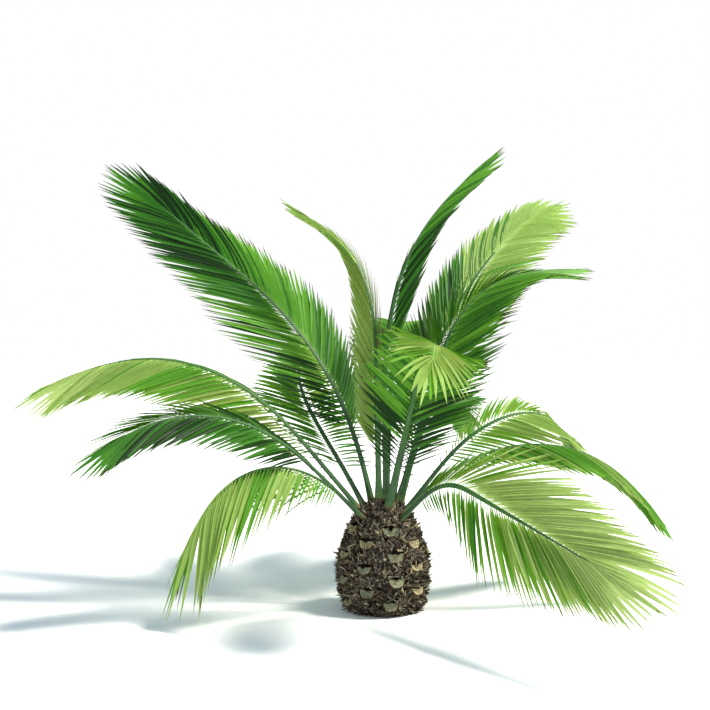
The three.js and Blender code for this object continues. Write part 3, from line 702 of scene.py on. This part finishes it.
def spine_points(frond, random):
    """Four-sided spines, (spines, SPINE_SIDES + 1, 3), on both edges of the bare stalk."""
    last = frond["bare"] + SPINE_OVERLAP
    count = int((last - SPINE_START) * frond["length"] / SPINE_SPACING)
    made = []
    for sign in (1, -1):
        share = np.linspace(SPINE_START, last, count)
        share = share + random.uniform(-SPINE_STRAY, SPINE_STRAY, count)
        axes = frame_at(frond, share)
        angle = np.radians(random.uniform(*SPINE_ANGLES, count))[:, None]
        fold = np.radians(random.uniform(-SPINE_FOLD, SPINE_FOLD, count))[:, None]
        heading = heading_of(axes, sign, angle, fold)
        length = SPINE_LENGTH + SPINE_GROWTH * np.linspace(0, 1, count) ** SPINE_GROWTH_POWER
        length = length * random.uniform(*SPINE_LENGTH_RANGE, count)
        root = rib_edge(frond, share, axes[1] * sign, SPINE_ROOT)
        thick = unit(np.cross(heading, axes[2]))
        other = np.cross(heading, thick)
        ring = [root + thick * x * SPINE_HALF[0] + other * y * SPINE_HALF[1] for x, y in SPINE_CORNERS]
        made.append(np.stack(ring + [root + heading * length[:, None]], axis=1))
    return np.concatenate(made)


print("points in a spine:", SPINE_SIDES + 1)

# %% [markdown]
# ## Colours along a stalk
#
# A stalk is brown and woody where it leaves the trunk, then olive, and grey-green up to the first
# leaflets. Beyond them the rib is leaf green. Where a frond's left row ends in the young and lit
# green, its rib end is pale too, partly as painted light. A painted gradient could show this, but
# the lower stretches are too short to need one, so each stretch has its own material.

# %% Join the stalks and spines
STALK_TINTS = ["stalk_foot_brown", "stalk_low_olive", "stalk_grey_green", "stalk_leaf_green",
               "rib_end_young_and_lit_green", "spine_green"]
BROWN_END = 0.008  # metres out of the trunk
OLIVE_END = 0.035
GREY_OVERLAP = 0.08  # share of the length that stays grey-green past the first leaflets
PALE_RIB_END_START = 0.72  # share of the length where the rib end turns pale: young green and painted light

spine_count = 0
for frond in FRONDS:
    points = stalk_points(frond)
    rows, columns = points.shape[:2]
    station = np.repeat(STALK_STATIONS[:-1], columns)
    beyond = (station - foot_share(frond)) * frond["length"]
    grey_end = (frond["bare"] + GREY_OVERLAP) * frond["length"]
    tint = np.digitize(beyond, (BROWN_END, OLIVE_END, grey_end))
    if frond["tints"][0][-1] == "Y":
        tint[station > PALE_RIB_END_START] = STALK_TINTS.index("rib_end_young_and_lit_green")
    spines = spine_points(frond, random)
    faces = tube_faces(rows, columns)
    faces += repeat_faces(SPINE_FACES, len(spines), SPINE_SIDES + 1, start=rows * columns).tolist()
    spine_tints = np.full(len(spines) * SPINE_SIDES, STALK_TINTS.index("spine_green"))
    join_mesh(frond["name"] + "_stalk", np.vstack([points.reshape(-1, 3), spines.reshape(-1, 3)]),
              faces, np.concatenate([tint, [0, tint[-1]], spine_tints]),
              [fibre_materials[name] for name in STALK_TINTS])
    spine_count += len(spines)
print("stalks:", len(FRONDS), "spines:", spine_count)

# %% [markdown]
# ## The trunk's core
#
# Under the shaggy cover the trunk is a solid mass of fibre. Its surface is a lathed skin, pushed in
# and out by a fractal noise so that no smooth patch shows between the scraps. A displacement in the
# material would leave the exported mesh smooth, so the points themselves are moved.

# %% Trunk core
CORE_ROWS = 90
CORE_HEAD_ROWS = 14  # of them, closer together on the rounded head
CORE_NECK = 0.53  # height where the head begins
CORE_COLUMNS = 160
CORE_SINK = 0.006  # how far the skin lies inside the trunk's rule
CORE_RELIEF = 0.012
CORE_LUMPS = (9, 40)  # noise steps in a radius, and in a metre of height
CORE_NOISE = (1.0, 2.0, 4)  # dimension, size step and octaves of the fractal

heights = np.concatenate([np.linspace(0, CORE_NECK, CORE_ROWS - CORE_HEAD_ROWS),
                          np.linspace(CORE_NECK, TRUNK_TOP, CORE_HEAD_ROWS + 1)[1:]])
turns = np.linspace(0, 2 * math.pi, CORE_COLUMNS, endpoint=False)
core = np.zeros((len(heights), CORE_COLUMNS, 3))
for i, height in enumerate(heights):
    for j, turn in enumerate(turns):
        spot = Vector((math.cos(turn) * CORE_LUMPS[0], math.sin(turn) * CORE_LUMPS[0],
                       height * CORE_LUMPS[1]))
        push = noise.fractal(spot, *CORE_NOISE) * CORE_RELIEF * (1 if height > 0 else 0)
        radius = max(trunk_radius(height) - CORE_SINK + push, 0.0)
        core[i, j] = (radius * math.cos(turn), radius * math.sin(turn), height)
faces = tube_faces(len(heights), CORE_COLUMNS)
# its near-black colour is dark fibre and painted shade in the gaps between the scraps
join_mesh("trunk_core", core.reshape(-1, 3), faces, np.zeros(len(faces)),
          [fibre_materials["bark_core_umber_painted_shade"]], ["trunk"])
print("core faces:", len(faces))

# %% [markdown]
# ## Cut leaf bases
#
# Where old fronds were pruned, the trunk shows pale half-moons: the cut ends of their leaf bases,
# hollow or notched above and round below. The ones on the right, where the key light falls, get a
# lighter cream as painted light, and the left ones a darker grey-green as painted shade. One could
# be cut with booleans and copied, but then all would be alike. Here each is made of rings from an
# outline of its own, with a rough, slightly dished face and a torn dark rim.

# %% The shape of a cut base
STUB_WIDTH = 0.102
STUB_HEIGHT = 0.054
STUB_PROUD = 0.016
STUB_PROUD_STRAY = (-0.008, 0.004)
STUB_SINK = 0.06
STUB_PITCH = 24  # degrees that a face looks up
STUB_OUTLINE_POINTS = 40
STUB_RINGS = [(0.3, -0.005), (0.6, -0.004), (0.86, -0.001), (1.0, -0.004), (1.04, -STUB_SINK)]
STUB_DISH = 0.005
STUB_FACE_RELIEF = 0.0015
STUB_SIZES = (0.86, 1.08)
NOTCH_DEPTH = (-0.25, 0.75)  # under 0 there is none
NOTCH_PLACE = 0.12  # either side of the middle
NOTCH_HALF_WIDTH = 0.16
HOLLOW_TOP = (0.22, 0.34)
CORNER_RISE = 0.14
BELLY_START = 0.36
BELLY_DEPTH = (0.85, 1.05)
BELLY_ROUNDNESS = 0.6
TORN_EDGE = 0.035
OUTLINE_RISE = 0.08


def half_moon(random):
    """An outline one unit wide and about one high: hollow or notched above, round and torn below."""
    turn = np.linspace(0, 2 * math.pi, STUB_OUTLINE_POINTS, endpoint=False)
    x = np.cos(turn) * 0.5
    corner = (2 * np.abs(x)) ** 3  # 0 in the middle, 1 at the two pointed corners
    depth = max(random.uniform(*NOTCH_DEPTH), 0)
    beside_notch = np.abs(x - random.uniform(-NOTCH_PLACE, NOTCH_PLACE)) / NOTCH_HALF_WIDTH
    notch = depth * np.clip(1 - beside_notch, 0, 1)
    top = random.uniform(*HOLLOW_TOP) + CORNER_RISE * corner - notch
    low = BELLY_START - random.uniform(*BELLY_DEPTH) * (1 - corner) ** BELLY_ROUNDNESS
    torn = random.normal(0, TORN_EDGE, len(turn)) * (1 - corner)
    y = np.where(np.sin(turn) > 0, top, low) + torn
    return np.stack([x, y + OUTLINE_RISE], axis=1)


def cut_base(azimuth, height, random):
    """The middle of a cut face, and then its rings from there out and back into the trunk."""
    out = polar(math.cos(math.radians(STUB_PITCH)), azimuth, math.sin(math.radians(STUB_PITCH)))
    across = polar(1, azimuth + 90, 0)
    up = np.cross(out, across)
    outline = half_moon(random) * random.uniform(*STUB_SIZES)
    proud = STUB_PROUD + random.uniform(*STUB_PROUD_STRAY)
    centre = polar(trunk_radius(height), azimuth, height) + out * proud
    points = [centre - out * STUB_DISH]
    for size, depth in STUB_RINGS:
        on_face = depth > -STUB_SINK
        relief = random.normal(0, STUB_FACE_RELIEF, len(outline)) if on_face else np.zeros(len(outline))
        points += list(centre + out * (depth + relief)[:, None]
                       + across * (outline[:, 0] * STUB_WIDTH * size)[:, None]
                       + up * (outline[:, 1] * STUB_HEIGHT * size)[:, None])
    return np.array(points)


print("points in a cut base:", 1 + STUB_OUTLINE_POINTS * len(STUB_RINGS))

# %% [markdown]
# ## The rows of cut bases
#
# What is left of a palm's leaves stands in slanting rows round the trunk. A spiral rule could place
# them, but level rows of five, each turned by half a place, look the same on a trunk this short.
# They are shaded flat, since a saw leaves flat facets and sharp edges.

# %% Set the cut bases round the trunk
STUB_ROWS = 7
STUBS_IN_ROW = 5
STUB_TOP_ROW = 0.436
STUB_ROW_SPACING = 0.0625
STUB_FIRST_AZIMUTH = -78
STUB_AZIMUTH_STRAY = 4
STUB_HEIGHT_STRAY = 0.006
STUB_TINTS = ["cut_base_lit_cream", "cut_base_shaded_grey_green", "cut_base_straw", "cut_base_side"]
LIT_CREAM, SHADED_GREY_GREEN, STRAW, SIDE = range(len(STUB_TINTS))
LIT_SIDE_AZIMUTHS = (-60, 60)  # the side where the key light falls, painted lighter
STUB_FACE_BANDS = 3  # bands from the middle out that have the colour of the cut

stubs = [(STUB_FIRST_AZIMUTH + (place + row / 2) * 360 / STUBS_IN_ROW
          + random.uniform(-STUB_AZIMUTH_STRAY, STUB_AZIMUTH_STRAY),
          STUB_TOP_ROW - row * STUB_ROW_SPACING + random.uniform(-STUB_HEIGHT_STRAY, STUB_HEIGHT_STRAY))
         for row in range(STUB_ROWS) for place in range(STUBS_IN_ROW)]
points, faces, tints = [], [], []
around, rings = STUB_OUTLINE_POINTS, len(STUB_RINGS)
for number, (azimuth, height) in enumerate(stubs):
    # the lit side gets the lighter cream as painted light, the other side darker grey-green as painted
    # shade
    turned = (azimuth + 180) % 360 - 180
    on_lit_side = LIT_SIDE_AZIMUTHS[0] < turned < LIT_SIDE_AZIMUTHS[1]
    tint = int(random.choice([LIT_CREAM, STRAW] if on_lit_side else [SHADED_GREY_GREEN, SHADED_GREY_GREEN, STRAW]))
    middle = number * (1 + around * rings)
    first = middle + 1
    points.append(cut_base(azimuth, height, random))
    faces += [(middle, first + i, first + (i + 1) % around) for i in range(around)]
    faces += (first + grid_faces(rings, around, closed=True)[:, ::-1]).tolist()
    faces.append(range(first + (rings - 1) * around, first + rings * around)[::-1])
    tints += [tint] * around * STUB_FACE_BANDS + [SIDE] * (around * (rings - STUB_FACE_BANDS) + 1)
join_mesh("cut_leaf_bases", np.vstack(points), faces, tints,
          [fibre_materials[name] for name in STUB_TINTS], ["trunk"], smooth=False)
print("cut leaf bases:", len(stubs))

# %% [markdown]
# ## Shaggy bark
#
# Between the cut bases the trunk is covered in torn scraps of old leaf bases and fibre, one to four
# centimetres long, that stick out every way. A displaced surface would look like dough, so the
# scraps are real slivers: thousands of small wedges. Their places come first, spread over the whole
# trunk, and none starts on a cut face.

# %% Where the scraps start
SCRAP_COUNT = 12000
SCRAP_HEIGHTS = (0.003, 0.576)
SCRAP_LEVELS = 400
SCRAP_HEAD_EXTRA = 0.03  # metres added to the radius, so that the narrow head gets enough
STUB_MIDDLE_RISE = 0.006  # how far the middle of a face lies above its seat
ON_STUB = 1.0  # squared distance from a cut base's middle, in halves of its width and height
BESIDE_STUB = 2.2  # the same, for scraps that start further out

levels = np.linspace(*SCRAP_HEIGHTS, SCRAP_LEVELS)
area = np.cumsum(trunk_radius(levels) + SCRAP_HEAD_EXTRA)
height = np.interp(random.random(SCRAP_COUNT), area / area[-1], levels)
turn = random.uniform(0, 2 * math.pi, SCRAP_COUNT)
free = np.ones(SCRAP_COUNT, bool)
beside = np.zeros(SCRAP_COUNT, bool)
for azimuth, level in stubs:
    around = (turn - math.radians(azimuth) + math.pi) % (2 * math.pi) - math.pi
    x = around * trunk_radius(height) / (STUB_WIDTH / 2)
    y = (height - level - STUB_MIDDLE_RISE) / (STUB_HEIGHT / 2)
    away = x ** 2 + y ** 2
    free &= away > ON_STUB
    beside |= away < BESIDE_STUB
height, turn, beside = height[free], turn[free], beside[free]
print("bark scraps:", len(height))

# %% [markdown]
# ## How the scraps lie
#
# Most torn fibre points up, as the leaf bases grew, and some is bent aside. A hair system could comb
# it, but its strands have no width. So each scrap gets a direction of its own, turned on the trunk's
# surface and lifted off it. Beside a cut base they start further out, and a few curl over its edge.

# %% How the scraps lie
SLOPE_STEP = 0.01
SCRAP_SPIN = 1.3  # radians, the usual turn away from straight up
SCRAP_LIFT = (5, 60)  # degrees off the surface
SCRAP_DEPTH = (0.002, 0.010)
SCRAP_RAISED = 0.010
SCRAP_LENGTH = (0.012, 0.042)
SCRAP_WIDTH = (0.004, 0.012)
SCRAP_CURL = (-0.35, 0.45)  # of the length, inwards or outwards

count = len(height)
radius = trunk_radius(height)
fall = trunk_radius(height - SLOPE_STEP) - trunk_radius(height + SLOPE_STEP)
slope = np.arctan2(fall, 2 * SLOPE_STEP)
outward = np.stack([np.cos(turn) * np.cos(slope), np.sin(turn) * np.cos(slope), np.sin(slope)], 1)
around = np.stack([-np.sin(turn), np.cos(turn), np.zeros(count)], 1)
upward = np.cross(outward, around)
spin = random.normal(0, SCRAP_SPIN, count)[:, None]
lift = np.radians(random.uniform(*SCRAP_LIFT, count))[:, None]
direction = (upward * np.cos(spin) + around * np.sin(spin)) * np.cos(lift) + outward * np.sin(lift)
thickness = unit(outward - direction * (outward * direction).sum(1, keepdims=True))
across = np.cross(direction, thickness)
depth = (random.uniform(*SCRAP_DEPTH, count) - beside * random.uniform(0, SCRAP_RAISED, count))[:, None]
base = np.stack([radius * np.cos(turn), radius * np.sin(turn), height], 1) - outward * depth
length = random.uniform(*SCRAP_LENGTH, count)[:, None]
width = random.uniform(*SCRAP_WIDTH, count)[:, None]
curl = random.uniform(*SCRAP_CURL, count)[:, None]
print("mean length of a scrap:", round(length.mean(), 3))

# %% [markdown]
# ## The scraps themselves
#
# A torn sliver is thickest along its middle and runs out to a point. A flat card would vanish when
# seen from its edge, so each scrap is a closed wedge of seven points with a ridge. Its colour is
# dealt by chance, from dark rotted fibre to straw.

# %% Make the bark scraps
SCRAP_RINGS = ((0, 0.9, 0.003), (0.6, 1.0, 0.002))  # share of length, share of width, ridge height
SCRAP_LOWEST = 0.001
SCRAP_FACES = [(0, 1, 4), (0, 4, 3), (1, 2, 5), (1, 5, 4), (2, 0, 3), (2, 3, 5),
               (3, 4, 6), (4, 5, 6), (5, 3, 6), (2, 1, 0)]
SCRAP_TINTS = {"bark_scrap_dark": 0.32, "bark_scrap_brown": 0.27, "bark_scrap_grey": 0.25,
               "bark_scrap_straw": 0.10, "bark_scrap_rust": 0.06}  # and the share of the scraps


def scrap_ring(share, broad, thick):
    """Three points across each scrap: one edge, the ridge and the other edge."""
    middle = base + direction * length * share + outward * curl * length * share ** 2
    edge = across * width * broad / 2
    return [middle - edge, middle + thickness * thick, middle + edge]


end = base + direction * length + outward * curl * length
scrap = np.stack([point for ring in SCRAP_RINGS for point in scrap_ring(*ring)] + [end], axis=1)
scrap[..., 2] = np.maximum(scrap[..., 2], SCRAP_LOWEST)
tint = random.choice(len(SCRAP_TINTS), count, p=list(SCRAP_TINTS.values()))
faces = repeat_faces(SCRAP_FACES, count, scrap.shape[1])
join_mesh("bark_scraps", scrap.reshape(-1, 3), faces, np.repeat(tint, len(SCRAP_FACES)),
          [fibre_materials[name] for name in SCRAP_TINTS], smooth=False)
print("scrap faces:", len(faces))

# %% [markdown]
# ## The floor
#
# A studio floor is board rolled with matt paint, which gives the eye an even, dull white. A flat
# colour would nearly do. A faint grain, drawn coarser than the real roller marks, breaks it up.

# %% Floor
FLOOR_SIZE = 60.0
FLOOR_COLOUR = "#f4f6f6"
FLOOR_GRAIN_PER_METRE = 40.0
FLOOR_RELIEF = 0.001

paint, tree = new_material("studio_floor_matt_paint")
place = add(tree, "TexCoord").outputs["Object"]
grain = add(tree, "TexNoise", Vector=place, Scale=FLOOR_GRAIN_PER_METRE, Detail=4.0)
bump = add(tree, "Bump", Height=grain.outputs[0], Strength=0.02, Distance=FLOOR_RELIEF)
skin = add(tree, "BsdfPrincipled", Base_Color=linear(FLOOR_COLOUR), Roughness=0.9,
           Normal=bump.outputs[0])
add(tree, "OutputMaterial", Surface=skin.outputs[0])
mesh = bpy.data.meshes.new("floor")
half = FLOOR_SIZE / 2
corners = [(-half, -half, 0), (half, -half, 0), (half, half, 0), (-half, half, 0)]
mesh.from_pydata(corners, [], [(0, 1, 2, 3)])
mesh.materials.append(paint)
floor = bpy.data.objects.new("floor", mesh)
scene.collection.objects.link(floor)
print("floor:", FLOOR_SIZE, "m square")

# %% [markdown]
# ## Walls and ceiling
#
# White walls stand all round, under a ceiling that is a little dimmer and cooler. They could be
# modelled, but a world that changes with height gives the same light with no noise.

# %% Walls and ceiling
WALL_COLOUR = "#ffffff"
CEILING_COLOUR = "#aac0d2"
WALL_END = 0.30  # upward part of the direction where the walls begin to turn into the ceiling
CEILING_START = 0.60

world = bpy.data.worlds.new("white_studio_walls")
world.use_nodes = True
tree = world.node_tree
direction = add(tree, "SeparateXYZ", Vector=add(tree, "TexCoord").outputs["Generated"])
share = add(tree, "MapRange", Value=direction.outputs["Z"], From_Min=WALL_END, From_Max=CEILING_START)
colour = add(tree, "Mix", {"data_type": "RGBA"}, i0=share.outputs[0], i6=linear(WALL_COLOUR),
             i7=linear(CEILING_COLOUR))
tree.links.new(colour.outputs[2], tree.nodes["Background"].inputs["Color"])
scene.world = world
print("walls", WALL_COLOUR, "ceiling", CEILING_COLOUR)

# %% [markdown]
# ## The key light
#
# A soft light from high on the right makes the fronds glow where it comes through them, and leaves
# the trunk's left side darker. An area lamp would light the near fronds more than the far ones, so
# this is a sun, and its wide disc keeps the shadows soft.

# %% Key light
KEY_STRENGTH = 6.5
KEY_DISC = 12  # degrees across
KEY_COLOUR = "#fff8ea"
KEY_AZIMUTH = -12  # degrees, where the light comes from
KEY_HEIGHT = 58

key_data = bpy.data.lights.new("key", "SUN")
key_data.energy = KEY_STRENGTH
key_data.angle = math.radians(KEY_DISC)
key_data.color = linear(KEY_COLOUR)[:3]
key = bpy.data.objects.new("key", key_data)
key_rise = math.radians(KEY_HEIGHT)
to_light = Vector(polar(math.cos(key_rise), KEY_AZIMUTH, math.sin(key_rise)))
key.rotation_euler = to_light.to_track_quat("Z", "Y").to_euler()
scene.collection.objects.link(key)
scene.view_settings.view_transform = "Standard"
print("key light from azimuth", KEY_AZIMUTH, "height", KEY_HEIGHT)
